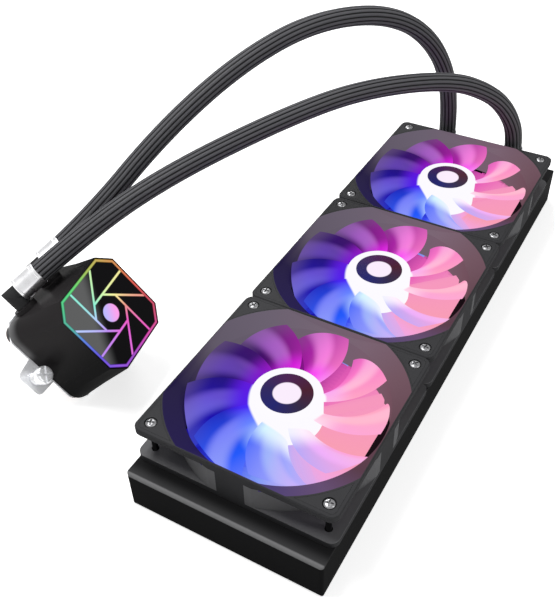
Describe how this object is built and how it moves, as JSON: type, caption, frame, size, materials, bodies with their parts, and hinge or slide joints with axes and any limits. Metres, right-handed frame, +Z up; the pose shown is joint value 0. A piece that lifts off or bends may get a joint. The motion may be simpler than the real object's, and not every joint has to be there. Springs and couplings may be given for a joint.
{
  "type": "all-in-one liquid processor cooler",
  "caption": "All-in-one liquid cooler: radiator with a row of lit fans, two sleeved hoses and a pump head with a lit octagonal face.",
  "frame": {"origin": "centre of the middle fan's four holes, on the radiator's underside", "axes": "+Z up out of the fans; +Y along the radiator towards the tank with the hose ports; the pump head stands at -X"},
  "size_m": [0.243, 0.396, 0.1729],
  "materials": {
    "radiator_black": "satin black paint",
    "barb_metal": "satin",
    "frame_plastic": "fine matt",
    "rotor_plastic": "milky translucent, satin",
    "badge_plastic": "gloss",
    "magnet": "matt",
    "steel": "satin",
    "bearing_brass": "satin",
    "board": "solder mask",
    "winding": "enamelled wire on laminations",
    "pad_rubber": "matt",
    "hose_sleeve": "braided sleeve over rubber",
    "ferrule_metal": "satin",
    "elbow_plastic": "satin",
    "housing_plastic": "satin",
    "light_diffuser": "lit from behind",
    "panel_gloss": "gloss",
    "seal_rubber": "matt",
    "copper": "lapped copper",
    "bracket_steel": "bright",
    "spring_steel": "bright"
  },
  "bodies": {
    "cooler": {"radiator_tubes": "radiator_black", "radiator_fins": "radiator_black", "side_rail_left": "radiator_black", "side_rail_right": "radiator_black", "end_tank": "radiator_black", "port_tank": "radiator_black", "hose_barbs": "barb_metal", "fan_1_frame": "frame_plastic", "fan_1_bearing": "bearing_brass", "fan_1_circuit_board": "board", "fan_1_stator": "winding", "fan_1_corner_pads": "pad_rubber", "fan_2_frame": "frame_plastic", "fan_2_bearing": "bearing_brass", "fan_2_circuit_board": "board", "fan_2_stator": "winding", "fan_2_corner_pads": "pad_rubber", "fan_3_frame": "frame_plastic", "fan_3_bearing": "bearing_brass", "fan_3_circuit_board": "board", "fan_3_stator": "winding", "fan_3_corner_pads": "pad_rubber", "fan_screws": "steel", "hose_front": "hose_sleeve", "hose_rear": "hose_sleeve", "port_ferrules": "ferrule_metal", "pump_housing": "housing_plastic", "light_ring": "light_diffuser", "light_bars": "light_diffuser", "face_panel": "panel_gloss", "pump_led_board": "board", "pump_stator": "winding", "pump_shaft": "steel", "pump_gasket": "seal_rubber", "cold_plate": "copper", "plate_screws": "steel", "mounting_bracket": "bracket_steel", "spring_near": "spring_steel", "spring_far": "spring_steel"},
    "fan_1_turning": {"fan_1_rotor": "rotor_plastic", "fan_1_hub_badge": "badge_plastic", "fan_1_magnet_ring": "magnet", "fan_1_shaft": "steel"},
    "fan_2_turning": {"fan_2_rotor": "rotor_plastic", "fan_2_hub_badge": "badge_plastic", "fan_2_magnet_ring": "magnet", "fan_2_shaft": "steel"},
    "fan_3_turning": {"fan_3_rotor": "rotor_plastic", "fan_3_hub_badge": "badge_plastic", "fan_3_magnet_ring": "magnet", "fan_3_shaft": "steel"},
    "pump_turning": {"pump_impeller": "housing_plastic", "pump_magnet": "magnet"},
    "elbow_front_body": {"elbow_front": "elbow_plastic", "ferrule_front": "ferrule_metal"},
    "elbow_rear_body": {"elbow_rear": "elbow_plastic", "ferrule_rear": "ferrule_metal"},
    "screw_near_body": {"spring_screw_near": "spring_steel"},
    "screw_far_body": {"spring_screw_far": "spring_steel"}
  },
  "joints": [
    {"name": "fan_1_spin", "type": "hinge", "parent": "cooler", "child": "fan_1_turning", "pos_m": [0, -0.12, 0.04], "axis": [0, 0, 1], "continuous": true},
    {"name": "fan_2_spin", "type": "hinge", "parent": "cooler", "child": "fan_2_turning", "pos_m": [0, 0, 0.04], "axis": [0, 0, 1], "continuous": true},
    {"name": "fan_3_spin", "type": "hinge", "parent": "cooler", "child": "fan_3_turning", "pos_m": [0, 0.12, 0.04], "axis": [0, 0, 1], "continuous": true},
    {"name": "pump_spin", "type": "hinge", "parent": "cooler", "child": "pump_turning", "pos_m": [-0.14887, -0.12216, 0.03429], "axis": [0.7862, 0.0536, 0.6157], "continuous": true},
    {"name": "elbow_front_swivel", "type": "hinge", "parent": "cooler", "child": "elbow_front_body", "pos_m": [-0.17356, -0.14112, 0.0665], "axis": [-0.604, -0.1442, 0.7838], "range_deg": [-15, 5], "deforming": ["hose_front"]},
    {"name": "elbow_rear_swivel", "type": "hinge", "parent": "cooler", "child": "elbow_rear_body", "pos_m": [-0.17694, -0.11563, 0.06859], "axis": [-0.604, -0.1442, 0.7838], "range_deg": [-5, 15], "deforming": ["hose_rear"]},
    {"name": "spring_screw_near_press", "type": "slide", "parent": "cooler", "child": "screw_near_body", "axis": [-0.7862, -0.0536, -0.6157], "range_m": [0, 0.004], "stiffness_N_per_m": 400, "deforming": ["spring_near"]},
    {"name": "spring_screw_far_press", "type": "slide", "parent": "cooler", "child": "screw_far_body", "axis": [-0.7862, -0.0536, -0.6157], "range_m": [0, 0.004], "stiffness_N_per_m": 400, "deforming": ["spring_far"]}
  ]
}
